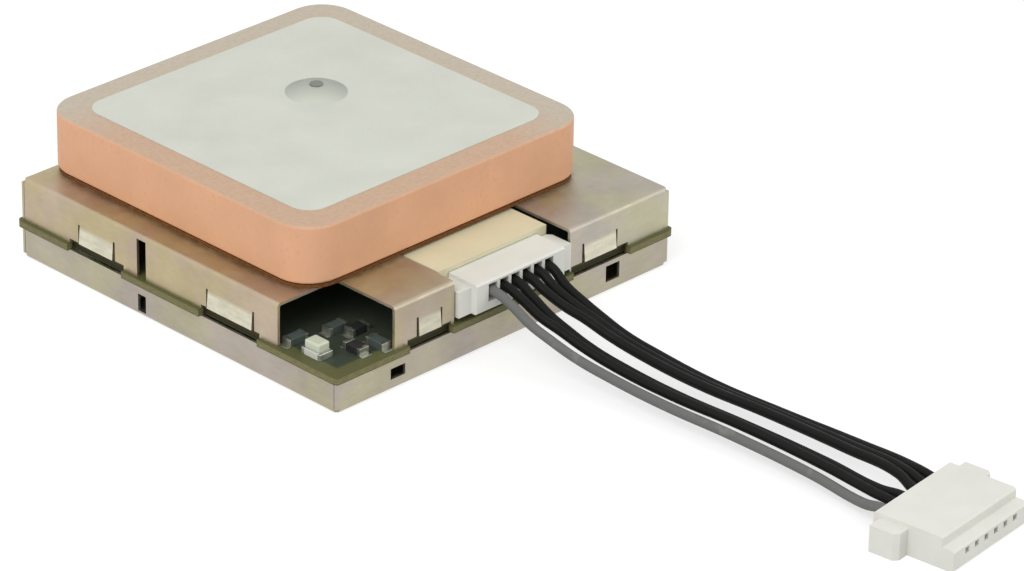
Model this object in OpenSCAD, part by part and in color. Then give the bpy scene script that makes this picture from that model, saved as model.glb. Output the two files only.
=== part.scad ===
// GPS receiver module: a square circuit board between two folded tin cans, with a ceramic
// patch antenna on top and a short lead of six wires that ends in a plug.
// The origin is the middle of the underside, +Z is up and the lead leaves towards -Y.

/* [Board] */
// Side of the square circuit board
board_w = 30; // [29:0.5:36]
// Thickness of the circuit board
board_t = 0.5; // [0.4:0.1:1.6]
// Depth of the recesses in the board's edge under the cans' spring tabs
board_recess = 0.6; // [0.3:0.1:1]
// Radius of the board's corners
board_r = 0.3; // [0.2:0.1:1]

/* [Shield cans] */
// Distance of the cans' walls from the edge of the board
can_inset = 0.25; // [0.2:0.05:0.6]
// Thickness of the tin sheet
can_sheet = 0.2; // [0.15:0.05:0.25]
// Outer radius of the folds
can_bend = 0.3; // [0.3:0.05:0.6]
// Gap between two walls at a folded corner
can_relief = 0.04; // [0.02:0.02:0.2]
// Height of the lower can
bottom_can_h = 2.2; // [2:0.1:4]
// Height of the upper can above the connector's header
can_headroom = 0.15; // [0.05:0.05:0.5]
// Width of the notch in the upper can's front left corner
corner_notch_x = 4.95; // [3:0.05:5.5]
// Depth of that notch, to the rear
corner_notch_y = 5.3; // [3:0.05:6]
// Height of the gap under the lifted stretches of a wall
lift_h = 0.3; // [0.2:0.05:0.7]
// Length of the spring tabs in those stretches
tab_h = 1.3; // [0.8:0.1:1.5]
// Outward tilt of the spring tabs
tab_tilt = 5; // [2:1:8]
// Width of the slots beside a spring tab
tab_slot = 0.16; // [0.1:0.02:0.3]
// Width of the tall slit in a side wall
slit_w = 0.85; // [0.5:0.05:1.2]
// Width of the windows in the lower can's front and rear walls
window_w = 1.25; // [0.8:0.05:1.6]

/* [Antenna] */
// Side of the ceramic block
ceramic_w = 25; // [22:0.5:26]
// Height of the ceramic block
ceramic_h = 4; // [2:0.5:6]
// Radius of the block's upright corners
ceramic_r = 2.5; // [1:0.25:4]
// Radius of the block's upper and lower edges
ceramic_edge = 0.2; // [0.1:0.05:0.5]
// Sideways place of the block on the board
ceramic_x = -0.3; // [-1:0.1:1]
// Distance of the block from the rear edge of the board
ceramic_rear = 0; // [0:0.1:1]
// Bare rim of ceramic round the silver electrode
electrode_rim = 1.9; // [1:0.1:4]
// Corner radius of the electrode
electrode_r = 1.5; // [0.5:0.25:3]
// Thickness of the silver plating
plating_t = 0.05; // [0.03:0.01:0.1]
// Thickness of the adhesive pad
pad_t = 0.25; // [0.15:0.05:0.5]
// Distance of the pad from the edge of the block
pad_rim = 0.1; // [0:0.05:1]
// Feed pin's offset from the middle of the block, sideways
feed_dx = 1.95; // [1:0.05:3]
// Feed pin's offset from the middle of the block, to the rear
feed_dy = 2; // [1:0.05:3]
// Diameter of the feed pin
feed_d = 0.9; // [0.6:0.1:1.2]
// Clearance round the pin in the ceramic and the board
feed_gap = 0.12; // [0.05:0.01:0.3]
// Diameter of the solder dome on the electrode
dome_d = 4.1; // [2.5:0.1:5]
// Height of the solder dome
dome_h = 0.55; // [0.3:0.05:0.8]

/* [Connector] */
// Distance between neighbouring wires
pitch = 1; // [1:0.01:1.05]
// Sideways place of the connector on the board
connector_x = 0.5; // [-1:0.1:1]
// Width of a plug's body
plug_w = 7.8; // [7:0.1:8.2]
// Length of a plug
plug_l = 5.8; // [5.7:0.1:7.5]
// Height of a plug's body
plug_h = 2.1; // [1.9:0.05:2.3]
// Length of a plug's lower nose
nose_l = 0.9; // [0.6:0.1:2.4]
// Height of a plug's nose
nose_h = 1.45; // [1.4:0.05:1.6]
// Width of the ears beside a plug's body
ear_w = 1.1; // [0.5:0.05:1.2]
// Length of the ears
ear_l = 2; // [1.2:0.1:2.4]
// Height of the ears
ear_h = 1.8; // [0.6:0.1:2]
// Distance that the plug stands out past the edge of the board
plug_overhang = 0.5; // [0.3:0.1:1.5]
// Running clearance between plug and header, and round the terminals
fit = 0.05; // [0.03:0.01:0.08]
// Thickness of the header's side walls
header_side = 0.85; // [0.3:0.05:1]
// Thickness of the header's back wall
header_back = 0.45; // [0.35:0.05:0.8]
// Thickness of the header's floor
header_floor = 0.35; // [0.2:0.05:0.6]
// Thickness of the header's roof
header_roof = 0.3; // [0.15:0.05:0.6]
// Side of the square contact pins
contact_w = 0.3; // [0.2:0.02:0.32]
// Gap between the plug's ears and the notch for them in the upper can
ear_gap = 0.15; // [0.1:0.05:0.5]

/* [Lead] */
// Diameter of each wire
wire_d = 0.65; // [0.5:0.05:0.7]

/* [Hidden] */
$fn = 48;
// Overlap of joined shapes, and how far a cut runs past what it cuts
eps = 0.01;
over = 1;
ways = 6;

// Heights from the underside up
can_w = board_w - 2 * can_inset;
board_top = bottom_can_h + board_t;
header_h = header_floor + plug_h + 2 * fit + header_roof;
top_can_h = header_h + can_headroom;
can_top = board_top + top_can_h;
ground_z = can_top + pad_t;
ceramic_z = ground_z + plating_t;
electrode_z = ceramic_z + ceramic_h;
dome_z = electrode_z + plating_t;
dome_tip = 0.03;

// Antenna in plan
ceramic_y = board_w / 2 - ceramic_rear - ceramic_w / 2;
feed_x = ceramic_x + feed_dx;
feed_y = ceramic_y + feed_dy;
feed_below = 0.6;
feed_keep = 0.5;
joint_r = 1.1;
joint_h = 0.45;
joint_tip = 0.1;

// Plug: the rear end is at 0 and the nose points to +Y
axis_z = 1;
wire_rise = 0.3;
far_rise = 0.5;
slot_l = 1.5;
slot_gap = 0.05;
slot_top = 1.85;
ear_y = 0.5;
ear_slope = 0.3;
terminal_w = 0.6;
cavity_w = terminal_w + 2 * fit;
mouth_wall = 0.4;
barrel_l = 1;
neck_l = 0.7;
neck_t = 0.2;
chamfer = 0.12;
// Start of a terminal's socket, its end wall, and the pin that stops short of that wall
socket_y = slot_l + barrel_l + neck_l;
socket_wall = terminal_w / 2;
pin_gap = 0.03;
pin_end_gap = 0.05;
pin_reach = plug_l + fit - socket_y - socket_wall - pin_end_gap;

// Connector on the board
plug_y = -board_w / 2 - plug_overhang;
plug_z = board_top + header_floor + fit;
header_w = plug_w + 2 * fit + 2 * header_side;
header_front = plug_y + ear_y + ear_l + fit;
cavity_back = plug_y + plug_l + fit;
header_rear = cavity_back + header_back;
tail_l = 1.1;
tail_t = 0.2;
side_tab = [0.2, 2, 1.2];
side_tab_foot = 0.5;

// Far plug on the table, and the middle of the lead from plug to plug
far_pos = [1.5, -47.35, 0];
far_yaw = 6.5;
route = [
    [0.45, -17.2, 3.85], [0.4, -18.9, 3.35], [0.6, -20.3, 2.9], [0.9, -22.2, 2.25],
    [1.2, -24.8, 1.75], [1.5, -29.2, 1.4], [1.9, -34.5, 1.35], [2.1, -41, 1.35],
    [1.8, -45.4, 1.5]
];
// At each point of the route: share of the bunched place and of the bunch's lean, and the
// rise from one wire to the next
gather = [0.2, 0.5, 0.75, 0.9, 1, 1, 1, 1, 1];
lean = [0.2, 0.4, 0.65, 0.7, 0.6, 0.65, 0.75, 0.65, 0.6];
slope = [-0.09, -0.04, -0.04, -0.05, -0.05, -0.07, -0.06, 0.03, 0.12];
// Each wire's place in the bunch, sideways and up
bunch = [
    [-2.36, -0.45], [-1.6, 0.2], [-0.92, -0.2], [0.76, 0.3], [1.48, 0], [2.2, -0.3]
];
wire_sides = 8;

// Lifted stretches in each wall of the upper can, from the front wall to the right:
// middle, width, width of the spring tab
lifts = [
    [[-6.8, 3.8, 1.9], [8.4, 5.2, 2.9]],
    [[-6.5, 5.4, 2.9], [6.5, 5.4, 2.9]],
    [[-6.5, 5.4, 2.9], [6.5, 5.4, 2.9]],
    [[-7.5, 5.2, 3.2], [5.1, 5.4, 4.1]]
];
// Tall slits of the two side walls, and the short ones under them: width, foot, top
slit_sides = [1, 3];
slit_x = -3.2;
slit_top = 0.3;
low_slit = [0.75, 0.3, 1.5];
// Windows of the lower can: middle, foot, top
windows = [[-9.5, 0.75, 1.5], [9.65, 0.75, 1.9]];
feed_hole_gap = 0.6;
notch_gap = 0.2;

// Parts on the board: size, then place from the middle of the board
receiver = [10, 7, 1.2];
receiver_at = [-2.5, -4];
ball_d = 0.4;
ball_h = 0.28;
ball_pitch = 1;
ball_rows = [9, 6];
ball_field = [5, 2];
amplifier = [1.6, 1.6, 0.6];
amplifier_at = [5, 4.4];
saw = [2.5, 2, 0.9];
saw_at = [8.4, 4.4];
oscillator = [3.2, 2.5, 1];
oscillator_at = [8, -1];
lid_rim = 0.2;
crystal = [3.2, 1.5, 0.9];
crystal_at = [6.5, -6];
regulator = [2.9, 1.6, 1.1];
regulator_at = [7.5, 0];
regulator_lead = [0.4, 0.6, 0.15];
regulator_pitch = 0.95;
store_d = 6.8;
store_h = 1.4;
store_rim = 0.5;
store_step = 0.85;
store_at = [-7, 6];
// The lamp and its small parts are placed from the board's front left corner
led = [1.1, 1.7, 0.45];
led_lens = [1, 1.3, 0.6];
led_at = [1.35, 3.15];
chip = [0.75, 1.45, 0.5];
chip_cap = 0.22;
chip_lip = 0.03;
corner_resistors = [[3.4, 1.85, 0], [5.2, 3.6, 90]];
corner_capacitors = [[4.3, 4.7, 90], [1.5, 5.3, 90], [4.9, 1.4, 0]];
// Chip parts under the upper can: place, turn
top_capacitors = [[5, 6.4, 90], [8.4, 6.4, 90], [5.4, -1, 0], [5.4, 1, 0]];
top_resistors = [[-6, 2, 0], [-7.2, 2, 0]];
top_inductors = [[3.2, 6.6, 0], [6.7, 6.6, 0]];
// Chip parts in the lower can: place, turn
low_capacitors = [[-9, -4, 0], [-9, -6, 0], [4.2, -4, 0], [4.2, -6, 0], [9.6, 0, 0]];
low_resistors = [[-2.5, 1, 90], [-0.5, 1, 90]];

// Flat square with round corners
module rounded_square(w, r) {
    square([w - 2 * r, w], center = true);
    square([w, w - 2 * r], center = true);
    for (x = [-1, 1], y = [-1, 1])
        translate([x * (w / 2 - r), y * (w / 2 - r)])
            circle(r);
}

// Upright section of a slab from x = 0 to w, with its outer edges rounded
module slab_section(w, h, e) {
    translate([0, e])
        square([w, h - 2 * e]);
    square([w - e, h]);
    for (z = [e, h - e])
        translate([w - e, z])
            circle(e);
}

// Square block with round upright corners and round upper and lower edges
module rounded_block(w, h, r, e) {
    span = w - 2 * r;
    translate([-span / 2, -span / 2, 0])
        cube([span, span, h]);
    for (turn = [0:90:270])
        rotate([0, 0, turn]) {
            translate([-span / 2, span / 2, 0])
                rotate([90, 0, 90])
                    linear_extrude(span)
                        slab_section(r, h, e);
            translate([span / 2, span / 2, 0])
                rotate_extrude(angle = 90)
                    slab_section(r, h, e);
        }
}

// Turns its children from the front wall (side 0) to another wall of a can
module on_side(side) {
    rotate([0, 0, 90 * side])
        children();
}

// Quarter ring of a fold, with its centre at the origin and the fold at the lower left
module fold_section() {
    intersection() {
        difference() {
            circle(can_bend);
            circle(can_bend - can_sheet);
        }
        translate([-can_bend, -can_bend])
            square(can_bend);
    }
}

// Folded can with its plate at z = 0 and its walls up to h, the side walls between the others
module folded_can(h) {
    plate = can_w - 2 * can_bend;
    translate([-plate / 2, -plate / 2, 0])
        cube([plate, plate, can_sheet]);
    for (side = [0:3])
        on_side(side) {
            wall = can_w - (side % 2 == 0 ? 0 : 2 * (can_sheet + can_relief));
            translate([-plate / 2, can_bend - can_w / 2, can_bend])
                rotate([90, 0, 90])
                    linear_extrude(plate)
                        fold_section();
            translate([-wall / 2, -can_w / 2, can_bend])
                cube([wall, can_sheet, h - can_bend]);
        }
}

// Box that cuts through a wall: middle x, width, from z0 to z1
module wall_cut(x, w, z0, z1) {
    translate([x - w / 2, -can_w / 2 - over, z0])
        cube([w, 2 * over, z1 - z0]);
}

// Circuit board with a hole for the feed pin and a recess under each spring tab
module main_board() {
    color("darkolivegreen")
        difference() {
            translate([0, 0, bottom_can_h])
                linear_extrude(board_t)
                    rounded_square(board_w, board_r);
            feed_bore(bottom_can_h, board_t, feed_gap);
            for (side = [0:3], l = lifts[side])
                on_side(side)
                    translate([l[0] - l[1] / 2, -board_w / 2 - over, bottom_can_h - over])
                        cube([l[1], board_recess + over, board_t + 2 * over]);
        }
}

// Spring tab that leans out of a wall, hinged at z0 and reaching down the can
module spring_tab(x, w, z0) {
    translate([x - w / 2, -can_w / 2, z0])
        rotate([tab_tilt, 0, 0])
            translate([0, 0, -can_sheet / 2])
                cube([w, can_sheet, tab_h + can_sheet / 2]);
}

// Notches of the upper can for the lamp's corner and for the connector
module top_shield_notches() {
    edge = -can_w / 2 - over;
    plug_notch = plug_w + 2 * (ear_w + ear_gap);
    translate([edge, edge, -over])
        cube([corner_notch_x + over, corner_notch_y + over, top_can_h + 2 * over]);
    translate([connector_x - plug_notch / 2, edge, -over])
        cube([plug_notch, header_rear + notch_gap - edge, top_can_h + 2 * over]);
}

// Upper can, made with its plate down and then turned over
module top_shield() {
    hinge_z = top_can_h - lift_h - tab_h;
    color("tan")
        translate([0, 0, can_top])
            mirror([0, 0, 1])
                difference() {
                    union() {
                        difference() {
                            folded_can(top_can_h);
                            for (side = [0:3], l = lifts[side])
                                on_side(side) {
                                    wall_cut(l[0], l[1], top_can_h - lift_h, top_can_h + over);
                                    wall_cut(l[0], l[2] + 2 * tab_slot, hinge_z, top_can_h);
                                }
                            for (side = slit_sides)
                                on_side(side)
                                    wall_cut(slit_x, slit_w, slit_top, top_can_h + over);
                        }
                        for (side = [0:3], l = lifts[side])
                            on_side(side)
                                spring_tab(l[0], l[2], hinge_z);
                    }
                    top_shield_notches();
                    translate([feed_x, feed_y, -over])
                        cylinder(d = feed_d + 2 * feed_hole_gap, h = 2 * over);
                }
}

module bottom_shield() {
    color("tan")
        difference() {
            folded_can(bottom_can_h);
            for (side = [0, 2], w = windows)
                on_side(side)
                    wall_cut(w[0], window_w, w[1], w[2]);
            for (side = slit_sides)
                on_side(side)
                    wall_cut(slit_x, low_slit[0], low_slit[1], low_slit[2]);
        }
}

// Places its children in the middle of the antenna, at height z
module at_antenna(z) {
    translate([ceramic_x, ceramic_y, z])
        children();
}

// Clearance hole for the feed pin, from z to z + h
module feed_bore(z, h, gap) {
    translate([feed_x, feed_y, z - over])
        cylinder(d = feed_d + 2 * gap, h = h + 2 * over);
}

module antenna_ceramic() {
    color("sandybrown")
        difference() {
            at_antenna(ceramic_z)
                rounded_block(ceramic_w, ceramic_h, ceramic_r, ceramic_edge);
            feed_bore(ceramic_z, ceramic_h, feed_gap);
        }
}

module antenna_electrode() {
    color("gainsboro")
        difference() {
            at_antenna(electrode_z)
                linear_extrude(plating_t)
                    rounded_square(ceramic_w - 2 * electrode_rim, electrode_r);
            feed_bore(electrode_z, plating_t, feed_gap);
        }
}

module antenna_ground() {
    color("silver")
        difference() {
            at_antenna(ground_z)
                linear_extrude(plating_t)
                    rounded_square(ceramic_w - 4 * ceramic_edge, ceramic_r - 2 * ceramic_edge);
            feed_bore(ground_z, plating_t, feed_hole_gap);
        }
}

module antenna_adhesive_pad() {
    color("saddlebrown")
        difference() {
            at_antenna(can_top)
                linear_extrude(pad_t)
                    rounded_square(ceramic_w - 2 * pad_rim, ceramic_r - pad_rim);
            feed_bore(can_top, pad_t, feed_hole_gap);
        }
}

module feed_pin() {
    low = bottom_can_h - feed_below;
    color("silver")
        translate([feed_x, feed_y, low])
            cylinder(d = feed_d, h = dome_z + dome_h + dome_tip - low);
}

// Spherical cap of solder round the pin on the electrode
module feed_solder() {
    ball_r = (dome_d * dome_d / 4 + dome_h * dome_h) / (2 * dome_h);
    color("lightgray")
        translate([feed_x, feed_y, dome_z])
            rotate_extrude()
                difference() {
                    intersection() {
                        translate([0, dome_h - ball_r])
                            circle(ball_r, $fn = 180);
                        square([dome_d, dome_h + over]);
                    }
                    translate([-over, -over])
                        square([over + feed_d / 2, dome_h + 3 * over]);
                }
}

// Cone of solder round the pin under the board
module feed_board_joint() {
    color("lightgray")
        translate([feed_x, feed_y, bottom_can_h - joint_h])
            difference() {
                cylinder(r1 = feed_d / 2 + joint_tip, r2 = joint_r, h = joint_h);
                translate([0, 0, -over])
                    cylinder(d = feed_d, h = joint_h + 2 * over);
            }
}

// Sideways place of each way in a connector
function way_x(i) = (i - (ways - 1) / 2) * pitch;

// Moves its children from the plug's own frame to the header on the board
module at_board_plug() {
    translate([connector_x, plug_y, plug_z])
        children();
}

// Moves its children from the plug's own frame to the far end of the lead
module at_far_plug() {
    translate(far_pos)
        rotate([0, 0, far_yaw + 180])
            children();
}

// Side outline of a plug, from the rear end to the nose
module plug_section() {
    step = plug_l - nose_l;
    polygon([
        [0, chamfer], [chamfer, 0], [plug_l - chamfer, 0], [plug_l, chamfer],
        [plug_l, nose_h - chamfer], [plug_l - chamfer, nose_h], [step, nose_h],
        [step, plug_h - chamfer], [step - chamfer, plug_h], [chamfer, plug_h],
        [0, plug_h - chamfer]
    ]);
}

// Plan of the two ears, joined through the body, with sloping front corners
module ear_plan() {
    half = plug_w / 2 + ear_w;
    front = ear_y + ear_l;
    polygon([
        [-half, ear_y], [half, ear_y], [half, front - ear_slope], [half - ear_slope, front],
        [ear_slope - half, front], [-half, front - ear_slope]
    ]);
}

// Crimp housing with a comb of slots for the wires in its rear end and an ear on each side
module plug_housing() {
    slot_w = wire_d + 2 * slot_gap;
    difference() {
        union() {
            translate([-plug_w / 2, 0, 0])
                rotate([90, 0, 90])
                    linear_extrude(plug_w)
                        plug_section();
            linear_extrude(ear_h)
                ear_plan();
        }
        for (i = [0:ways - 1])
            translate([way_x(i), 0, axis_z]) {
                translate([-slot_w / 2, -over, -slot_w / 2])
                    cube([slot_w, slot_l + over, slot_top - axis_z + slot_w / 2]);
                translate([-cavity_w / 2, slot_l - eps, -cavity_w / 2])
                    cube([cavity_w, plug_l - mouth_wall - slot_l + eps, cavity_w]);
                translate([-contact_w / 2 - fit, 0, -contact_w / 2 - fit])
                    cube([contact_w + 2 * fit, plug_l + over, contact_w + 2 * fit]);
            }
    }
}

// Crimp terminals: a barrel on the wire, a neck and a square socket for the contact pin
module plug_terminals() {
    socket_l = plug_l - mouth_wall - fit - socket_y;
    hole_w = contact_w + 2 * pin_gap;
    for (i = [0:ways - 1])
        translate([way_x(i), 0, axis_z]) {
            translate([0, slot_l, 0])
                rotate([-90, 0, 0])
                    cylinder(d = terminal_w, h = barrel_l);
            translate([-terminal_w / 4, slot_l + barrel_l / 2, -terminal_w / 2])
                cube([terminal_w / 2, barrel_l / 2 + neck_l + socket_wall, neck_t]);
            difference() {
                translate([-terminal_w / 2, socket_y, -terminal_w / 2])
                    cube([terminal_w, socket_l, terminal_w]);
                translate([-hole_w / 2, socket_y + socket_wall, -hole_w / 2])
                    cube([hole_w, socket_l, hole_w]);
            }
        }
}

module header_housing() {
    depth = header_rear - header_front;
    color("wheat")
        difference() {
            translate([connector_x - header_w / 2, header_front, board_top])
                cube([header_w, depth, header_h]);
            translate([
                connector_x - plug_w / 2 - fit, header_front - over, board_top + header_floor
            ])
                cube([plug_w + 2 * fit, cavity_back - header_front + over, plug_h + 2 * fit]);
            for (i = [0:ways - 1])
                translate([
                    connector_x + way_x(i) - contact_w / 2, cavity_back - eps,
                    plug_z + axis_z - contact_w / 2
                ])
                    cube([contact_w, header_back + over, contact_w]);
        }
}

// Side outline of a contact: tail on the board, riser and pin
module contact_section() {
    low = plug_z + axis_z - contact_w / 2;
    high = low + contact_w;
    riser = header_rear + tail_t;
    polygon([
        [header_rear + tail_l, board_top], [header_rear + tail_l, board_top + tail_t],
        [riser, board_top + tail_t], [riser, high], [cavity_back - pin_reach, high],
        [cavity_back - pin_reach, low], [header_rear, low], [header_rear, board_top]
    ]);
}

module header_contacts() {
    color("goldenrod")
        for (i = [0:ways - 1])
            translate([connector_x + way_x(i) - contact_w / 2, 0, 0])
                rotate([90, 0, 90])
                    linear_extrude(contact_w)
                        contact_section();
}

// Solder tabs on the header's sides
module header_tabs() {
    color("silver")
        for (side = [-1, 1])
            translate([connector_x, header_front + header_side, board_top])
                for (foot = [false, true])
                    translate([side > 0 ? header_w / 2 : -header_w / 2 - tab_reach(foot), 0, 0])
                        cube([
                            tab_reach(foot), side_tab[1], foot ? side_tab[0] : side_tab[2]
                        ]);
}

// How far a solder tab stands out: its plate, or its foot
function tab_reach(foot) = foot ? side_tab[0] + side_tab_foot : side_tab[0];

module board_plug_housing() {
    color("ivory")
        at_board_plug()
            plug_housing();
}

module board_plug_terminals() {
    color("goldenrod")
        at_board_plug()
            plug_terminals();
}

module far_plug_housing() {
    color("ivory")
        at_far_plug()
            plug_housing();
}

module far_plug_terminals() {
    color("goldenrod")
        at_far_plug()
            plug_terminals();
}

// Height of a wire in a plug: on the axis at its terminal, higher at the plug's rear end
function wire_z(y, rise) = axis_z + rise * (1 - y / slot_l);

// Point in the far plug's frame, x sideways and y from its rear end, as a point of the part
function far_point(x, y) = [
    far_pos[0] - x * cos(far_yaw) + y * sin(far_yaw),
    far_pos[1] - x * sin(far_yaw) - y * cos(far_yaw),
    far_pos[2] + wire_z(y, far_rise)
];

// Points of one wire from terminal to terminal
function wire_points(i) = concat(
    [for (y = [slot_l, 0])
        [connector_x + way_x(i), plug_y + y, plug_z + wire_z(y, wire_rise)]],
    [for (k = [0:len(route) - 1])
        route[k] + [
            way_x(i) * (1 - gather[k]) + bunch[i][0] * gather[k], 0,
            bunch[i][1] * lean[k] + way_x(i) * slope[k]
        ]],
    [for (y = [0, slot_l]) far_point(-way_x(i), y)]
);

function unit(v) = v / norm(v);

function level(v) = [v[0], v[1], 0];

// Direction of a path at point k, level at both ends, where it meets a terminal
function heading(p, k) = unit(
    (k == 0 ? level(p[1] - p[0]) : k == len(p) - 1 ? level(p[k] - p[k - 1])
        : unit(p[k] - p[k - 1]) + unit(p[k + 1] - p[k]))
);

// Ring of points round a path at point k
function ring(p, k) =
    let (t = heading(p, k), across = unit(cross(t, [0, 0, 1])), up = cross(across, t))
    [for (s = [0:wire_sides - 1])
        p[k] + wire_d / 2 * (cos(360 * s / wire_sides) * across + sin(360 * s / wire_sides) * up)];

// Round tube swept along a path
module tube(p) {
    n = wire_sides;
    last = (len(p) - 1) * n;
    polyhedron(
        points = [for (k = [0:len(p) - 1]) each ring(p, k)],
        faces = concat(
            [[for (s = [0:n - 1]) s]],
            [[for (s = [n - 1:-1:0]) last + s]],
            [for (k = [0:len(p) - 2], s = [0:n - 1])
                [k * n + s, (k + 1) * n + s, (k + 1) * n + (s + 1) % n, k * n + (s + 1) % n]]
        )
    );
}

module wire(i) {
    color(i == 0 ? "gray" : "black")
        tube(wire_points(i));
}

// Hangs its children under the board, with their own z pointing down
module under_board() {
    translate([0, 0, bottom_can_h])
        mirror([0, 0, 1])
            children();
}

// Stands its children on the board
module on_board() {
    translate([0, 0, board_top])
        children();
}

// Stands its children on the board, placed from its front left corner
module on_corner() {
    translate([-board_w / 2, -board_w / 2, board_top])
        children();
}

// Block centred in plan on a place
module package(size, at) {
    translate([at[0] - size[0] / 2, at[1] - size[1] / 2, 0])
        cube(size);
}

// Places of the solder balls under the receiver chip, with none in the middle
function ball_places() = [
    for (i = [0:ball_rows[0] - 1], j = [0:ball_rows[1] - 1])
        let (x = i - (ball_rows[0] - 1) / 2, y = j - (ball_rows[1] - 1) / 2)
        if (abs(x) > ball_field[0] / 2 || abs(y) > ball_field[1] / 2)
            receiver_at + ball_pitch * [x, y]
];

module receiver_chip() {
    color("dimgray")
        under_board()
            translate([0, 0, ball_h])
                package(receiver, receiver_at);
}

module receiver_balls() {
    color("silver")
        under_board()
            for (at = ball_places())
                translate([at[0], at[1], 0])
                    cylinder(d = ball_d, h = ball_h, $fn = 16);
}

module amplifier() {
    color("dimgray")
        on_board()
            package(amplifier, amplifier_at);
}

module saw_filter() {
    color("silver")
        on_board()
            package(saw, saw_at);
}

// Ceramic base with a smaller metal lid
module lidded_package(size, at) {
    package([size[0], size[1], size[2] / 2], at);
    package([size[0] - 2 * lid_rim, size[1] - 2 * lid_rim, size[2]], at);
}

module reference_oscillator() {
    color("silver")
        on_board()
            lidded_package(oscillator, oscillator_at);
}

module clock_crystal() {
    color("silver")
        under_board()
            lidded_package(crystal, crystal_at);
}

// Moulded body on five leads
module voltage_regulator() {
    body_z = regulator_lead[2];
    color("dimgray")
        under_board() {
            translate([0, 0, body_z])
                package(regulator - [0, 0, body_z], regulator_at);
            for (lead = [[-1, -1], [0, -1], [1, -1], [-1, 1], [1, 1]])
                package(
                    regulator_lead + [0, 0, eps],
                    regulator_at + [lead[0] * regulator_pitch, lead[1] * regulator[1] / 2]
                );
        }
}

// Coin cell of the backup supply, with a smaller cap
module backup_capacitor() {
    color("silver")
        under_board()
            translate([store_at[0], store_at[1], 0]) {
                cylinder(d = store_d, h = store_step);
                cylinder(d = store_d - 2 * store_rim, h = store_h);
            }
}

// Lamp with a lens on its base
module status_led() {
    color("white")
        on_corner() {
            package(led, led_at);
            translate([0, 0, led[2] - eps])
                package(led_lens + [0, 0, eps], led_at);
        }
}

// Chip part with an end cap at each end, at [x, y, turn]
module chip_part(at) {
    translate([at[0], at[1], 0])
        rotate([0, 0, at[2]]) {
            package(chip, [0, 0]);
            for (end = [-1, 1])
                package(
                    [chip[0] + 2 * chip_lip, chip_cap, chip[2] + chip_lip],
                    [0, end * (chip[1] / 2 - chip_cap / 2 + chip_lip)]
                );
        }
}

module chip_parts(places) {
    for (at = places)
        chip_part(at);
}

module chip_capacitors() {
    color("tan") {
        on_corner()
            chip_parts(corner_capacitors);
        on_board()
            chip_parts(top_capacitors);
        under_board()
            chip_parts(low_capacitors);
    }
}

module chip_resistors() {
    color("black") {
        on_corner()
            chip_parts(corner_resistors);
        on_board()
            chip_parts(top_resistors);
        under_board()
            chip_parts(low_resistors);
    }
}

module chip_inductors() {
    color("gray")
        on_board()
            chip_parts(top_inductors);
}

main_board();
top_shield();
bottom_shield();
antenna_ceramic();
antenna_electrode();
antenna_ground();
antenna_adhesive_pad();
feed_pin();
feed_solder();
feed_board_joint();
header_housing();
header_contacts();
header_tabs();
board_plug_housing();
board_plug_terminals();
wire(0);  // wire_1
wire(1);  // wire_2
wire(2);  // wire_3
wire(3);  // wire_4
wire(4);  // wire_5
wire(5);  // wire_6
far_plug_housing();
far_plug_terminals();
receiver_chip();
receiver_balls();
amplifier();
saw_filter();
reference_oscillator();
clock_crystal();
voltage_regulator();
backup_capacitor();
status_led();
chip_capacitors();
chip_resistors();
chip_inductors();
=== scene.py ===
"""Dressed model of a GPS receiver module with a ceramic patch antenna and a short lead.

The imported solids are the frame. The wires, the chip parts and the lamp are made here, and every
other solid gets a finish.
"""

import math

import bmesh
import bpy
from bpy.props import FloatProperty, FloatVectorProperty, IntProperty, PointerProperty
from mathutils import Matrix, Vector


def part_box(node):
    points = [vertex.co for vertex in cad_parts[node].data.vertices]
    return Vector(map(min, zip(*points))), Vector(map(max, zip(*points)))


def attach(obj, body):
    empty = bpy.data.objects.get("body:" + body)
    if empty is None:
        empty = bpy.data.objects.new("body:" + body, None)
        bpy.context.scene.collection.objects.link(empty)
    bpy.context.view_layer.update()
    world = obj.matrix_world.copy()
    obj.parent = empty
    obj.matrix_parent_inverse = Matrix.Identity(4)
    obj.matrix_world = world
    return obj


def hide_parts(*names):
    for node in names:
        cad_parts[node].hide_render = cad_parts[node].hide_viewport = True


bl_info = {
    "name": "GPS receiver module",
    "version": (1, 0, 0),
    "blender": (4, 5, 0),
    "location": "3D View > Sidebar > Module",
    "description": "Dresses the solids of a GPS receiver module with finishes and fine parts",
    "category": "Object",
}

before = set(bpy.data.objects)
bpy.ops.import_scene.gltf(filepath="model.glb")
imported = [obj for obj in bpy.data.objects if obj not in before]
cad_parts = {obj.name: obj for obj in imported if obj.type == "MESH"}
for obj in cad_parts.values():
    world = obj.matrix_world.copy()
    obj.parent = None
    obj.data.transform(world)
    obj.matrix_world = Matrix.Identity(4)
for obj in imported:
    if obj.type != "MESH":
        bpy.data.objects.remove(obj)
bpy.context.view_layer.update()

MM = 0.001
BODY = "root"

# Heights, half widths and a corner that the finishes read, from the solids
BOARD_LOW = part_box("main_board")[0][2]
BOARD_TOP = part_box("main_board")[1][2]
BOARD_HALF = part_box("main_board")[1][0]
CERAMIC_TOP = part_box("antenna_ceramic")[1][2]
CAN_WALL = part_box("bottom_shield")[1][0]
ELECTRODE_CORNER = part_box("antenna_electrode")[1]

# Photograph's width and the lens that fits it, in pixels, and the sensor's width in millimetres
FRAME_W = 1024
LENS_PX = 5500.0
SENSOR_MM = 36.0

# Lights and floor: places and sizes in metres, and the floor's grey under its glow
KEY_PLACE, KEY_SIZE = (-0.35, -0.12, 0.42), 0.35
FILL_PLACE, FILL_SIZE = (0.3, -0.42, 0.25), 0.4
LIGHTS_AIM = (0, -0.01, 0.004)
FLOOR_HALF, FLOOR_CELLS = 3.0, 8
FLOOR_GREY = 0.45

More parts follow.
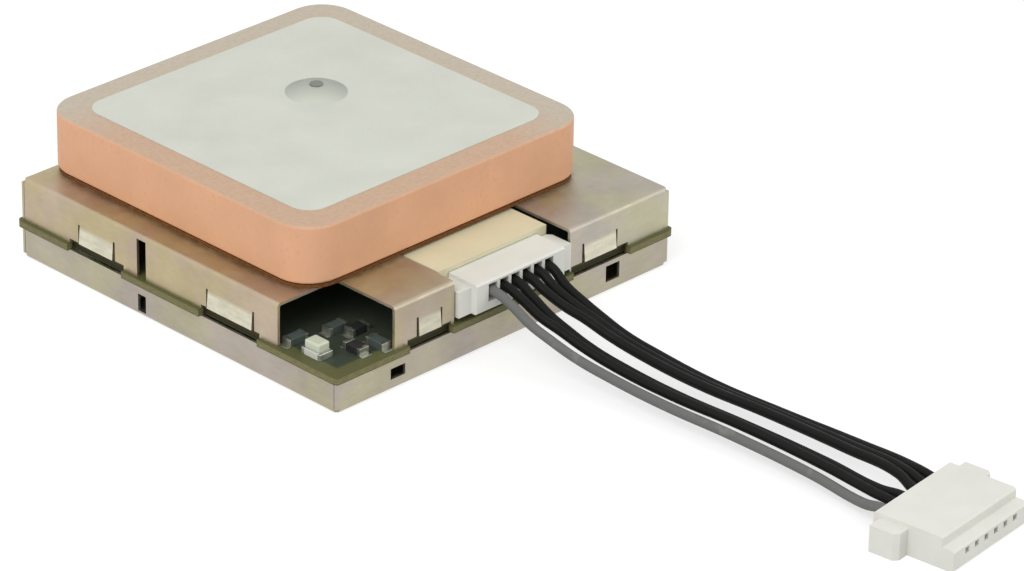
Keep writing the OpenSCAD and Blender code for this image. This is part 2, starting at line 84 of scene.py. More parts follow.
# Ends of the lead in millimetres, as in the solids: plugs, their slots and how the wires leave
WAYS = 6
PITCH = 1.0
PLUG_REAR = (0.5, -15.5, 4.1)
SLOT = 1.5
RISE = 0.3
FAR_RISE = 0.5
FAR_REAR = (1.5, -47.35, 1)
FAR_YAW = math.radians(6.5)

# Points of the lead's middle between the plugs
ROUTE = [
    (0.45, -17.2, 3.85), (0.4, -18.9, 3.35), (0.6, -20.3, 2.9), (0.9, -22.2, 2.25),
    (1.2, -24.8, 1.75), (1.5, -29.2, 1.4), (1.9, -34.5, 1.35), (2.1, -41, 1.35),
    (1.8, -45.4, 1.5),
]
# At each point: share of the bunch across and up, and the rise per millimetre across the plug
GATHER = [0.2, 0.5, 0.75, 0.9, 1, 1, 1, 1, 1]
LEAN = [0.2, 0.4, 0.65, 0.7, 0.6, 0.65, 0.75, 0.65, 0.6]
SLOPE = [-0.09, -0.04, -0.04, -0.05, -0.05, -0.07, -0.06, 0.03, 0.12]
# Each wire's place in the bunch, across and up
BUNCH = [(-2.36, -0.45), (-1.6, 0.2), (-0.92, -0.2), (0.76, 0.3), (1.48, 0), (2.2, -0.3)]

# Chip parts: place from the board's middle in millimetres, turn in degrees, side of the board
CORNER = (-15, -15)
CAPACITORS = [
    (CORNER[0] + 4.3, CORNER[1] + 4.7, 90, 1), (CORNER[0] + 1.5, CORNER[1] + 5.3, 90, 1),
    (CORNER[0] + 4.9, CORNER[1] + 1.4, 0, 1),
    (5, 6.4, 90, 1), (8.4, 6.4, 90, 1), (5.4, -1, 0, 1), (5.4, 1, 0, 1),
    (-9, -4, 0, -1), (-9, -6, 0, -1), (4.2, -4, 0, -1), (4.2, -6, 0, -1), (9.6, 0, 0, -1),
]
RESISTORS = [
    (CORNER[0] + 3.4, CORNER[1] + 1.85, 0, 1), (CORNER[0] + 5.2, CORNER[1] + 3.6, 90, 1),
    (-6, 2, 0, 1), (-7.2, 2, 0, 1), (-2.5, 1, 90, -1), (-0.5, 1, 90, -1),
]
INDUCTORS = [(3.2, 6.6, 0, 1), (6.7, 6.6, 0, 1)]

# Status lamp in millimetres: width, length and height of its base and lens, and its tinned ends
LAMP_AT = (CORNER[0] + 1.35, CORNER[1] + 3.15)
LAMP_BASE = (1.1, 1.7, 0.45)
LAMP_LENS = (1.0, 1.3, 0.6)
LAMP_END = 0.25
BASE_ROUND, END_ROUND, LENS_ROUND = 0.02, 0.04, 0.14

# Usual range of a noise
NOISE_LOW, NOISE_HIGH = 0.3, 0.7

# Tin: tints and tones of its stains, painted warm light on the upper can's left and painted cool
# light on its right, and the painted highlight on the spring tabs
PLAIN = (1.0, 1.0, 1.0)
PINK_STAIN = (1.03, 0.96, 0.99)
STRAW_STAIN = (1.05, 1.02, 0.86)
DULL_TIN, CLEAN_TIN = 0.9, 1.06
PAINTED_WARM_LIGHT = (1.07, 0.98, 0.9)
PAINTED_COOL_LIGHT = (0.97, 1.0, 1.05)
TAB_HIGHLIGHT_DIM, TAB_HIGHLIGHT_BRIGHT = 1.2, 1.5
TAB_HIGHLIGHT_START, TAB_HIGHLIGHT_END = 0.004 * MM, 0.03 * MM

# Ceramic: where its side's colour ends under the top, and its rim's greying past the electrode
SIDE_END, RIM_START = 0.16 * MM, 0.02 * MM
GREY_START, GREY_END = -4.5 * MM, 0.8 * MM
SPECK_TONE = 0.93

# Board: copper along the rim and recesses under the tabs, measured in from the edge, the painted
# shade on the edge in those recesses, and the mask
COPPER_START, COPPER_END = 1.1 * MM, 0.9 * MM
RECESS_START, RECESS_END = 0.5 * MM, 0.35 * MM
RECESS_PAINTED_SHADE = 0.2
MASK_SKIN = 0.04 * MM

# Soldered feed: heading of its painted shade, that shade's span in radii, and both tones, painted
# light and painted shade
DOME_SHADE_HEADING = Vector((1, 1, 0)).normalized()
DOME_SHADE_START, DOME_SHADE_END = -0.8, 0.4
DOME_LIT_TONE, DOME_SHADED_TONE = 1.12, 0.66

# Tones of pieces that share a colour
LOWER_CAN_TONE, LOWER_CAN_TINT = 0.92, (1.0, 1.0, 1.08)
LID_TONE = 1.2
PIN_TONE = 0.45
END_CAP_TONE = 0.95
INDUCTOR_TONE = 0.6
LAMP_BASE_TONE, LAMP_END_TONE = 0.9, 1.25


def tone(colour, factor, tint=PLAIN):
    """A lighter, darker or tinted tone of a colour."""
    return tuple(min(1.0, c * factor * t) for c, t in zip(colour[:3], tint))


class Nodes:
    """Short way to add nodes to a tree and feed their sockets."""

    def __init__(self, tree):
        self.tree = tree

    def add(self, kind, **inputs):
        """New node, with its inputs by name, where a low line stands for a space."""
        node = self.tree.nodes.new(kind)
        for socket, value in inputs.items():
            self.feed(node.inputs[socket.replace("_", " ")], value)
        return node

    def feed(self, socket, value):
        """Links a socket to another one, or sets its value."""
        if isinstance(value, bpy.types.NodeSocket):
            self.tree.links.new(value, socket)
        else:
            socket.default_value = value

    def math(self, operation, first, second=None):
        node = self.tree.nodes.new("ShaderNodeMath")
        node.operation = operation
        self.feed(node.inputs[0], first)
        if second is not None:
            self.feed(node.inputs[1], second)
        return node.outputs["Value"]


class Finish(Nodes):
    """One material, built round its Principled shader on Object coordinates."""

    def __init__(self, name, **values):
        self.material = bpy.data.materials.new(name)
        self.material.use_nodes = True
        super().__init__(self.material.node_tree)
        self.shader = self.tree.nodes["Principled BSDF"]
        self.where = self.add("ShaderNodeTexCoord").outputs["Object"]
        for socket, value in values.items():
            self.feed(self.shader.inputs[socket.replace("_", " ")], value)

    def noise(self, size, detail=3.0, rough=0.55, squeeze=(1, 1, 1)):
        """Noise whose blotches are about size metres across, over the squeeze along each axis."""
        spread = self.add("ShaderNodeMapping", Vector=self.where, Scale=squeeze)
        node = self.add(
            "ShaderNodeTexNoise", Vector=spread.outputs["Vector"], Scale=1 / size,
            Detail=detail, Roughness=rough,
        )
        return node.outputs["Fac"]

    def along(self, axis):
        """Place along X, Y or Z, in metres."""
        return self.add("ShaderNodeSeparateXYZ", Vector=self.where).outputs[axis]

    def reach(self):
        """Distance from the upright axis, square in plan, in metres."""
        sides = [self.math("ABSOLUTE", self.along(axis)) for axis in "XY"]
        return self.math("MAXIMUM", *sides)

    def past(self, corner):
        """How far a point lies past the sides that meet in a corner, in plan, in metres."""
        sides = [
            self.math("SUBTRACT", self.along(axis), start) for axis, start in zip("XY", corner)
        ]
        return self.math("MAXIMUM", *sides)

    def span(self, value, low, high, to_low=0.0, to_high=1.0):
        """Value from low to high, spread over a new range and held at its ends."""
        node = self.add(
            "ShaderNodeMapRange", Value=value, From_Min=low, From_Max=high, To_Min=to_low,
            To_Max=to_high,
        )
        return node.outputs["Result"]

    def blend(self, factor, first, second):
        """Colour from first to second as factor goes from 0 to 1."""
        node = self.tree.nodes.new("ShaderNodeMix")
        node.data_type = "RGBA"
        sockets = {s.identifier: s for s in node.inputs}
        self.feed(sockets["Factor_Float"], factor)
        for key, colour in (("A_Color", first), ("B_Color", second)):
            if not isinstance(colour, bpy.types.NodeSocket):
                colour = (*colour[:3], 1.0)
            self.feed(sockets[key], colour)
        return next(s for s in node.outputs if s.identifier == "Result_Color")

    def mottle(self, noise, colour, first, last, low=NOISE_LOW, high=NOISE_HIGH):
        """A colour's first tone to its last as the noise rises from low to high."""
        return self.blend(self.span(noise, low, high), tone(colour, first), tone(colour, last))

    def sheen(self, noise, smooth, rough):
        """Roughness from smooth to rough as the noise rises over its usual range."""
        return self.span(noise, NOISE_LOW, NOISE_HIGH, smooth, rough)

    def shade(self, colour, rough):
        """Gives the shader its colour and roughness."""
        self.feed(self.shader.inputs["Base Color"], colour)
        self.feed(self.shader.inputs["Roughness"], rough)

    def relief(self, height, depth, strength=1.0):
        """Fine relief, on top of any that the finish already has."""
        node = self.add("ShaderNodeBump", Height=height, Distance=depth, Strength=strength)
        normal = self.shader.inputs["Normal"]
        if normal.is_linked:
            self.feed(node.inputs["Normal"], normal.links[0].from_socket)
        self.feed(normal, node.outputs["Normal"])


def tin_finish(name, colour, wall=None):
    """Tinned sheet: warm grey, faintly rolled, with dull blotches and a slightly wavy face.

    With a wall given, the sheet has painted warm light on the left and painted cool light on the
    right, and what stands out past the wall, which is the spring tabs, gets a painted highlight.
    """
    f = Finish(name, Metallic=1.0)
    rolled = f.noise(0.9 * MM, detail=4, rough=0.6, squeeze=(1, 1, 3.5))
    clean = f.span(f.noise(3.5 * MM), 0.35, 0.7)
    stain = f.span(f.noise(5 * MM, detail=2), 0.42, 0.58)

    def stains_and_painted_light(painted_light_tint):
        pink, straw = (
            tone(tone(colour, 1.0, painted_light_tint), 1.0, tint) for tint in (PINK_STAIN, STRAW_STAIN)
        )
        return f.blend(
            clean, f.blend(stain, tone(pink, DULL_TIN), tone(straw, DULL_TIN)),
            f.blend(stain, tone(pink, CLEAN_TIN), tone(straw, CLEAN_TIN)),
        )

    if wall is None:
        sheet = stains_and_painted_light(PLAIN)
    else:
        # Painted warm light on the upper can's left, turning to painted cool light on its right
        rightwards = f.span(f.along("X"), -wall, 0.5 * wall)
        sheet = f.blend(rightwards, stains_and_painted_light(PAINTED_WARM_LIGHT), stains_and_painted_light(PAINTED_COOL_LIGHT))
        # Painted highlight on the spring tabs, which stand out past the wall
        painted_tab_highlight = f.span(f.reach(), wall + TAB_HIGHLIGHT_START, wall + TAB_HIGHLIGHT_END)
        tab = f.mottle(rolled, colour, TAB_HIGHLIGHT_DIM, TAB_HIGHLIGHT_BRIGHT, low=0.35, high=0.65)
        sheet = f.blend(painted_tab_highlight, sheet, tab)
    f.shade(sheet, f.sheen(rolled, smooth=0.42, rough=0.58))
    f.relief(f.noise(4.5 * MM, detail=2), depth=0.05 * MM, strength=0.5)
    f.relief(rolled, depth=0.006 * MM, strength=0.6)
    return f.material


def ceramic_finish(name, colour, rim_colour, grey_colour):
    """Fired ceramic: orange sides, a paler ground top, fine speckle.

    The top's rim is greyed along the two sides away from the open corner.
    """
    f = Finish(name, IOR=1.5)
    speck = f.noise(0.28 * MM, detail=2)
    side = f.mottle(f.noise(4 * MM), colour, first=0.94, last=1.05)
    side = f.blend(f.span(speck, 0.58, 0.8), side, tone(colour, 0.92))
    greyed = f.span(f.past(ELECTRODE_CORNER), GREY_START, GREY_END)
    top = f.blend(
        f.span(speck, 0.4, 0.7), f.blend(greyed, rim_colour, grey_colour),
        f.blend(greyed, tone(rim_colour, SPECK_TONE), tone(grey_colour, SPECK_TONE)),
    )
    rise = f.span(f.along("Z"), CERAMIC_TOP - SIDE_END, CERAMIC_TOP - RIM_START)
    f.shade(f.blend(rise, side, top), f.sheen(speck, smooth=0.5, rough=0.64))
    f.relief(speck, depth=0.012 * MM, strength=0.7)
    return f.material


def silver_finish(name, colour):
    """Fired silver paste: pale, matt, with faint screen marks and clouds."""
    f = Finish(name, Metallic=0.35)
    cloud = f.noise(5 * MM, detail=4)
    weave = f.noise(0.22 * MM, detail=2)
    f.shade(
        f.mottle(cloud, colour, first=0.95, last=1.03, low=0.32, high=0.68),
        f.sheen(weave, smooth=0.5, rough=0.62),
    )
    f.relief(weave, depth=0.004 * MM, strength=0.7)
    return f.material


def solder_finish(name, colour):
    """Solder: bright with dull frosted patches."""
    f = Finish(name, Metallic=0.9)
    frost = f.noise(0.7 * MM, detail=4)
    f.shade(
        f.mottle(frost, colour, first=0.8, last=1.0, low=0.35, high=0.7),
        f.sheen(frost, smooth=0.25, rough=0.5),
    )
    f.relief(frost, depth=0.03 * MM, strength=0.5)
    return f.material


def dome_finish(name, colour):
    """Soldered feed: painted light towards the open corner, painted shade on the side facing
    away.
    """
    f = Finish(name, Metallic=0.5)
    low, high = (Vector(corner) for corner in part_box("feed_solder"))
    middle, radius = (low + high) / 2, (high.x - low.x) / 2
    away = f.add("ShaderNodeVectorMath", Vector=f.where)
    away.operation = "DOT_PRODUCT"
    f.feed(away.inputs[1], DOME_SHADE_HEADING)
    centre = middle.dot(DOME_SHADE_HEADING)
    frost = f.noise(0.7 * MM, detail=4)
    # Painted shade that darkens the dome towards the side facing away
    f.shade(
        f.mottle(
            away.outputs["Value"], colour, DOME_LIT_TONE, DOME_SHADED_TONE,
            low=centre + DOME_SHADE_START * radius, high=centre + DOME_SHADE_END * radius,
        ),
        f.sheen(frost, smooth=0.35, rough=0.5),
    )
    f.relief(frost, depth=0.03 * MM, strength=0.5)
    return f.material


def board_finish(name, mask_colour, rim_colour, edge_colour):
    """Circuit board: solder mask, paler over the copper along the rim, cut fibre on the edge.

    The edge has painted shade in the recesses under the spring tabs, where it is dark.
    """
    f = Finish(name, Specular_IOR_Level=0.2)
    grain = f.noise(0.25 * MM)
    fibre = f.noise(0.5 * MM, rough=0.6, squeeze=(1, 1, 9))
    reach, height = f.reach(), f.along("Z")
    copper = f.span(reach, BOARD_HALF - COPPER_START, BOARD_HALF - COPPER_END)
    mask = f.blend(copper, f.mottle(grain, mask_colour, first=0.85, last=1.15), rim_colour)
    # Painted shade on the board's edge in the recesses under the spring tabs
    unshaded_edge = f.span(reach, BOARD_HALF - RECESS_START, BOARD_HALF - RECESS_END)
    edge = f.blend(
        unshaded_edge, tone(edge_colour, RECESS_PAINTED_SHADE),
        f.mottle(fibre, edge_colour, first=0.7, last=1.15, low=0.35, high=0.65),
    )
    inside = f.math(
        "MULTIPLY", f.span(height, BOARD_LOW + MASK_SKIN, BOARD_LOW + 2 * MASK_SKIN),
        f.span(height, BOARD_TOP - 2 * MASK_SKIN, BOARD_TOP - MASK_SKIN, 1.0, 0.0),
    )
    f.shade(f.blend(inside, mask, edge), f.sheen(grain, smooth=0.45, rough=0.6))
    f.relief(grain, depth=0.01 * MM, strength=0.5)
    return f.material


def plastic_finish(name, colour, smooth=0.36, rough=0.5):
    """Moulded plastic: even colour, faint flow clouds and a fine spark-eroded grain."""
    f = Finish(name, IOR=1.5)
    grain = f.noise(0.12 * MM, detail=2)
    cloud = f.noise(2.5 * MM, detail=2)
    f.shade(f.mottle(cloud, colour, first=0.96, last=1.02), f.sheen(grain, smooth, rough))
    f.relief(grain, depth=0.006 * MM, strength=0.6)
    return f.material


def wire_finish(name, colour):
    """Extruded insulation: satin, with fine draw marks and a few scuffs."""
    f = Finish(name, IOR=1.48, Specular_IOR_Level=0.16)
    scuff = f.noise(1.2 * MM, detail=4)
    drawn = f.noise(0.18 * MM, detail=2, rough=0.5, squeeze=(1, 0.08, 1))
    f.shade(
        f.mottle(scuff, colour, first=1.0, last=1.6, low=0.55, high=0.8),
        f.sheen(scuff, smooth=0.5, rough=0.66),
    )
    f.relief(drawn, depth=0.008 * MM, strength=0.6)
    return f.material


def adhesive_finish(name, colour):
    """Foam tape: matt, finely porous."""
    f = Finish(name, Specular_IOR_Level=0.15)
    pore = f.noise(0.15 * MM)
    f.shade(f.mottle(pore, colour, first=0.7, last=1.2, low=0.35, high=0.65), rough=0.9)
    f.relief(pore, depth=0.03 * MM)
    return f.material


def plated_finish(name, colour):
    """Stamped and plated contact metal."""
    f = Finish(name, Metallic=1.0)
    stamped = f.noise(0.3 * MM, rough=0.5, squeeze=(1, 0.2, 1))
    f.shade(
        f.mottle(stamped, colour, first=0.9, last=1.05),
        f.sheen(stamped, smooth=0.22, rough=0.36),
    )
    f.relief(stamped, depth=0.005 * MM)
    return f.material


def colour_setting(name, description, default):
    return FloatVectorProperty(
        name=name, description=description, subtype="COLOR", size=3, min=0, max=1,
        default=default,
    )


def length_setting(name, description, default):
    return FloatProperty(
        name=name, description=description, subtype="DISTANCE", unit="LENGTH", min=0,
        default=default, precision=5,
    )


def angle_setting(name, description, degrees):
    return FloatProperty(
        name=name, description=description, subtype="ANGLE", unit="ROTATION",
        default=math.radians(degrees),
    )


class ModuleFinishes(bpy.types.PropertyGroup):
    """Colours of the module's surfaces."""

    tin: colour_setting("Tin sheet", "Colour of the two shield cans", (0.46, 0.44, 0.35))
    ceramic: colour_setting(
        "Ceramic", "Colour of the antenna block's sides", (0.75, 0.405, 0.235)
    )
    ceramic_rim: colour_setting(
        "Ceramic rim", "Colour of the bare rim on top", (0.57, 0.38, 0.257)
    )
    greyed_rim: colour_setting(
        "Greyed rim", "Colour of the rim along its two greyed sides", (0.53, 0.46, 0.362)
    )
    silver: colour_setting("Silver paste", "Colour of the electrode", (0.635, 0.65, 0.575))
    solder: colour_setting("Solder", "Colour of the soldered joints", (0.5, 0.52, 0.45))
    mask: colour_setting("Solder mask", "Colour of the board's faces", (0.04, 0.052, 0.036))
    mask_rim: colour_setting(
        "Mask on copper", "Colour of the mask along the board's rim", (0.1, 0.105, 0.04)
    )
    board_edge: colour_setting("Board edge", "Colour of the cut edge", (0.2, 0.18, 0.08))
    header: colour_setting("Header", "Colour of the header's plastic", (0.7, 0.655, 0.45))
    plug: colour_setting("Plugs", "Colour of the plugs' plastic", (0.74, 0.74, 0.68))
    black_wire: colour_setting(
        "Black wires", "Colour of the black insulation", (0.005, 0.005, 0.0046)
    )
    grey_wire: colour_setting(
        "Grey wire", "Colour of the grey insulation", (0.155, 0.155, 0.15)
    )
    adhesive: colour_setting(
        "Adhesive pad", "Colour of the pad under the block", (0.17, 0.07, 0.022)
    )
    contact: colour_setting("Contacts", "Colour of the contact metal", (0.72, 0.56, 0.3))
    chip_black: colour_setting("Moulded chips", "Colour of chip resin", (0.022, 0.022, 0.024))
    chip_tan: colour_setting(
        "Chip capacitors", "Colour of fired chip ceramic", (0.08, 0.105, 0.095)
    )
    lamp: colour_setting("Lamp", "Colour of the lamp's lens", (0.6, 0.64, 0.5))


class ModuleSizes(bpy.types.PropertyGroup):
    """Sizes of the fine parts that are made here."""

    wire_diameter: length_setting("Wire diameter", "Outside of the insulation", 0.65 * MM)
    wire_sides: IntProperty(
        name="Wire smoothness", description="Steps in a quarter of a wire's round",
        default=4, min=2, max=8,
    )
    wire_steps: IntProperty(
        name="Wire steps", description="Steps between two points of a wire",
        default=8, min=2, max=16,
    )
    chip_size: FloatVectorProperty(
        name="Chip size", description="Width, length and height of a chip part's body",
        subtype="XYZ", unit="LENGTH", size=3, default=(0.75 * MM, 1.45 * MM, 0.5 * MM),
        precision=5,
    )
    chip_cap: length_setting("End cap", "Length of a chip part's end caps", 0.22 * MM)
    chip_lip: length_setting("End cap lip", "How far the caps stand out of the body", 0.03 * MM)
    chip_pad: length_setting(
        "Pad", "Length of the tinned pad that shows past each end cap", 0.28 * MM
    )
    pad_skin: length_setting("Pad thickness", "Thickness of the tin on a pad", 0.06 * MM)
    chip_round: length_setting("Chip rounding", "Rounding of a chip part's edges", 0.025 * MM)


class ModuleStage(bpy.types.PropertyGroup):
    """Camera and light."""

    camera_place: FloatVectorProperty(
        name="Camera", description="Place of the camera", subtype="XYZ", unit="LENGTH",
        size=3, default=(-0.21893, -0.23019, 0.16304), precision=5,
    )
    azimuth: angle_setting("Azimuth", "Turn of the camera round the module", -45.52)
    elevation: angle_setting("Elevation", "Camera's angle above the floor", 27.41)
    roll: angle_setting("Roll", "Camera's turn about its line of sight", 1.05)
    sky: FloatProperty(
        name="Sky", description="Strength of the even light from all round",
        default=0.62, min=0, max=2,
    )
    key: FloatProperty(
        name="Key light", description="Power of the large lamp above the left shoulder",
        subtype="POWER", default=1.5, min=0, max=20,
    )
    fill: FloatProperty(
        name="Fill light", description="Power of the lamp on the right", subtype="POWER",
        default=0.6, min=0, max=20,
    )
    floor_light: FloatProperty(
        name="Floor light", description="Soft light that the white floor gives back",
        default=0.2, min=0, max=2,
    )
    floor_seen: FloatProperty(
        name="Floor glow", description="Lift of the floor to white where it is seen",
        default=0.64, min=0, max=2,
    )


class ModuleSettings(bpy.types.PropertyGroup):
    """All that a user would change on the module."""

    finishes: PointerProperty(type=ModuleFinishes)
    sizes: PointerProperty(type=ModuleSizes)
    stage: PointerProperty(type=ModuleStage)


def settings():
    return bpy.context.scene.module_settings


def dress(node_name, material):
    """Gives a solid of the frame its finish."""
    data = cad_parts[node_name].data
    data.materials.clear()
    data.materials.append(material)


def link(obj):
    """Puts an object in the scene."""
    bpy.context.scene.collection.objects.link(obj)
    return obj


def mesh_object(name, bm, *materials):
    """Turns a finished bmesh into an object in the scene."""
    mesh = bpy.data.meshes.new(name)
    bm.to_mesh(mesh)
    bm.free()
    for material in materials:
        mesh.materials.append(material)
    return link(bpy.data.objects.new(name, mesh))


def keep(obj, node):
    """Puts a finished piece on the module in place of a solid."""
    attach(obj, BODY)
    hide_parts(node)


class NodeTree(Nodes):
    """Short way to write a Geometry Nodes tree with named inputs."""

    def __init__(self, name, inputs):
        super().__init__(bpy.data.node_groups.new(name, "GeometryNodeTree"))
        face = self.tree.interface
        face.new_socket("Geometry", in_out="INPUT", socket_type="NodeSocketGeometry")
        for label, kind in inputs:
            face.new_socket(label, in_out="INPUT", socket_type=kind)
        face.new_socket("Geometry", in_out="OUTPUT", socket_type="NodeSocketGeometry")
        self.given = self.add("NodeGroupInput").outputs

    def vector(self, x, y, z):
        return self.add("ShaderNodeCombineXYZ", X=x, Y=y, Z=z).outputs["Vector"]

    def finish(self, *shapes):
        """Joins the shapes into the tree's result."""
        joined = self.add("GeometryNodeJoinGeometry")
        for shape in shapes:
            self.feed(joined.inputs["Geometry"], shape)
        self.add("NodeGroupOutput", Geometry=joined.outputs["Geometry"])

    def make(self, name, seed_mesh, values, rounding):
        """Runs the tree on a mesh, rounds its edges and returns a plain mesh object."""
        obj = link(bpy.data.objects.new(name, seed_mesh))
        grow = obj.modifiers.new("grow", "NODES")
        grow.node_group = self.tree
        for item in self.tree.interface.items_tree:
            if item.in_out == "INPUT" and item.name in values:
                grow[item.identifier] = values[item.name]
        soften = obj.modifiers.new("soften", "BEVEL")
        soften.width = rounding
        soften.segments = 2
        soften.limit_method = "ANGLE"
        bpy.context.view_layer.update()
        result = bpy.data.meshes.new_from_object(
            obj.evaluated_get(bpy.context.evaluated_depsgraph_get())
        )
        bpy.data.objects.remove(obj)
        result.name = name
        return link(bpy.data.objects.new(name, result))


def chip_tree():
    """Tree that puts a chip part with two end caps and their pads on each point of a mesh."""
    t = NodeTree(
        "chip parts",
        [
            ("Size", "NodeSocketVector"), ("Cap", "NodeSocketFloat"),
            ("Lip", "NodeSocketFloat"), ("Pad", "NodeSocketFloat"),
            ("Skin", "NodeSocketFloat"), ("Body", "NodeSocketMaterial"),
            ("Metal", "NodeSocketMaterial"),
        ],
    )
    size = t.add("ShaderNodeSeparateXYZ", Vector=t.given["Size"]).outputs
    cap, lip = t.given["Cap"], t.given["Lip"]
    pad, skin = t.given["Pad"], t.given["Skin"]
    turn = t.tree.nodes.new("GeometryNodeInputNamedAttribute")
    turn.data_type = "FLOAT_VECTOR"
    turn.inputs["Name"].default_value = "turn"
    facing = t.add("FunctionNodeEulerToRotation", Euler=turn.outputs["Attribute"])

    def half(length):
        return t.math("DIVIDE", length, 2.0)

    def double(length):
        return t.math("MULTIPLY", length, 2.0)

    def placed(block, along, height, material):
        moved = t.add(
            "GeometryNodeTransform", Geometry=block.outputs["Mesh"],
            Translation=t.vector(0.0, along, half(height)),
        )
        many = t.add(
            "GeometryNodeInstanceOnPoints", Points=t.given["Geometry"],
            Instance=moved.outputs["Geometry"], Rotation=facing.outputs["Rotation"],
        )
        real = t.add("GeometryNodeRealizeInstances", Geometry=many.outputs["Instances"])
        painted = t.add(
            "GeometryNodeSetMaterial", Geometry=real.outputs["Geometry"], Material=material
        )
        return painted.outputs["Geometry"]

    core_length = t.math("SUBTRACT", size["Y"], double(cap))
    core = t.add("GeometryNodeMeshCube", Size=t.vector(size["X"], core_length, size["Z"]))
    shapes = [placed(core, 0.0, size["Z"], t.given["Body"])]
    wide = t.math("ADD", size["X"], double(lip))
    tall = t.math("ADD", size["Z"], lip)
    long = t.math("ADD", cap, lip)
    end = t.add("GeometryNodeMeshCube", Size=t.vector(wide, long, tall))
    end_reach = t.math("ADD", half(core_length), half(long))
    foot = t.add("GeometryNodeMeshCube", Size=t.vector(wide, pad, skin))
    foot_reach = t.math("ADD", t.math("ADD", end_reach, half(long)), half(pad))
    for block, reach, height in ((end, end_reach, tall), (foot, foot_reach, skin)):
        for sign in (-1.0, 1.0):
            along = t.math("MULTIPLY", reach, sign)
            shapes.append(placed(block, along, height, t.given["Metal"]))
    t.finish(*shapes)
    return t


def chip_points(places):
    """Mesh of bare points, each with the turn of its chip part."""
    mesh = bpy.data.meshes.new("chip places")
    height = {1: BOARD_TOP, -1: BOARD_LOW}
    mesh.from_pydata([(x * MM, y * MM, height[side]) for x, y, _, side in places], [], [])
    turn = mesh.attributes.new("turn", "FLOAT_VECTOR", "POINT")
    for item, (_, _, degrees, side) in zip(turn.data, places):
        item.vector = (0.0 if side > 0 else math.pi, 0.0, math.radians(degrees))
    return mesh


def wire_points(i):
    """Points of one wire from terminal to terminal, in metres."""
    across = (i - (WAYS - 1) / 2) * PITCH
    x, y, z = PLUG_REAR
    points = [(x + across, y + SLOT, z), (x + across, y, z + RISE)]
    bx, bz = BUNCH[i]
    for (rx, ry, rz), share, lean, slope in zip(ROUTE, GATHER, LEAN, SLOPE):
        points.append((
            rx + across * (1 - share) + bx * share, ry, rz + bz * lean + across * slope
        ))
    x, y, z = FAR_REAR
    for depth, rise in ((0, FAR_RISE), (SLOT, 0)):
        points.append((
            x + across * math.cos(FAR_YAW) + depth * math.sin(FAR_YAW),
            y + across * math.sin(FAR_YAW) - depth * math.cos(FAR_YAW),
            z + rise,
        ))
    return [Vector(p) * MM for p in points]


class MODULE_OT_lead(bpy.types.Operator):
    """Lay the six wires of the lead from plug to plug"""

    bl_idname = "module.lead"
    bl_label = "Lead"

    def execute(self, context):
        colours = settings().finishes
        sizes = settings().sizes
        black = wire_finish("black insulation", colours.black_wire)
        grey = wire_finish("grey insulation", colours.grey_wire)
        for i in range(WAYS):
            curve = bpy.data.curves.new(f"lead_wire_{i + 1}", "CURVE")
            curve.dimensions = "3D"
            curve.bevel_depth = sizes.wire_diameter / 2
            curve.bevel_resolution = sizes.wire_sides
            curve.resolution_u = sizes.wire_steps
            curve.use_fill_caps = True
            points = wire_points(i)
            spline = curve.splines.new("BEZIER")
            spline.bezier_points.add(len(points) - 1)
            for knot, point in zip(spline.bezier_points, points):
                knot.co = point
                knot.handle_left_type = knot.handle_right_type = "AUTO"
            curve.materials.append(grey if i == 0 else black)
            wire = link(bpy.data.objects.new(curve.name, curve))
            context.view_layer.update()
            keep(wire, f"wire_{i + 1}")
        return {"FINISHED"}


class MODULE_OT_cans(bpy.types.Operator):
    """Finish the two folded shield cans"""

    bl_idname = "module.cans"
    bl_label = "Shield cans"

    def execute(self, context):
        colour = settings().finishes.tin
        lower = tone(colour, LOWER_CAN_TONE, LOWER_CAN_TINT)
        dress("top_shield", tin_finish("upper can tin", colour, CAN_WALL))
        dress("bottom_shield", tin_finish("lower can tin", lower))
        return {"FINISHED"}


class MODULE_OT_antenna(bpy.types.Operator):
    """Finish the ceramic antenna, its electrode, pad and feed"""

    bl_idname = "module.antenna"
    bl_label = "Patch antenna"

    def execute(self, context):
        colours = settings().finishes
        dress("antenna_ceramic", ceramic_finish(
            "fired ceramic", colours.ceramic, colours.ceramic_rim, colours.greyed_rim
        ))
        silver = silver_finish("silver paste", colours.silver)
        dress("antenna_electrode", silver)
        dress("antenna_ground", silver)
        dress("antenna_adhesive_pad", adhesive_finish("foam tape", colours.adhesive))
        dress("feed_solder", dome_finish("feed solder", colours.solder))
        dress("feed_board_joint", solder_finish("joint solder", colours.solder))
        dress("feed_pin", plated_finish("tinned pin", tone(colours.solder, PIN_TONE)))
        return {"FINISHED"}


class MODULE_OT_connector(bpy.types.Operator):
    """Finish the header, both plugs and their contacts"""

    bl_idname = "module.connector"
    bl_label = "Connector"

    def execute(self, context):
        colours = settings().finishes
        dress("header_housing", plastic_finish("cream moulding", colours.header))
        white = plastic_finish("white moulding", colours.plug)
        metal = plated_finish("contact metal", colours.contact)
        for end in ("board", "far"):
            dress(f"{end}_plug_housing", white)
            dress(f"{end}_plug_terminals", metal)
        dress("header_contacts", metal)
        dress("header_tabs", solder_finish("tab tin", colours.solder))
        return {"FINISHED"}


class MODULE_OT_board(bpy.types.Operator):
    """Finish the circuit board and the moulded and lidded parts on it"""

    bl_idname = "module.board"
    bl_label = "Circuit board"

    def execute(self, context):
        colours = settings().finishes
        dress("main_board", board_finish(
            "circuit board", colours.mask, colours.mask_rim, colours.board_edge
        ))
        resin = plastic_finish("chip resin", colours.chip_black, smooth=0.5, rough=0.7)
        for node in ("receiver_chip", "amplifier", "voltage_regulator"):
            dress(node, resin)
        lid = tin_finish("part lids", tone(colours.tin, LID_TONE))
        for node in ("saw_filter", "reference_oscillator", "clock_crystal", "backup_capacitor"):
            dress(node, lid)
        dress("receiver_balls", solder_finish("solder balls", colours.solder))
        return {"FINISHED"}


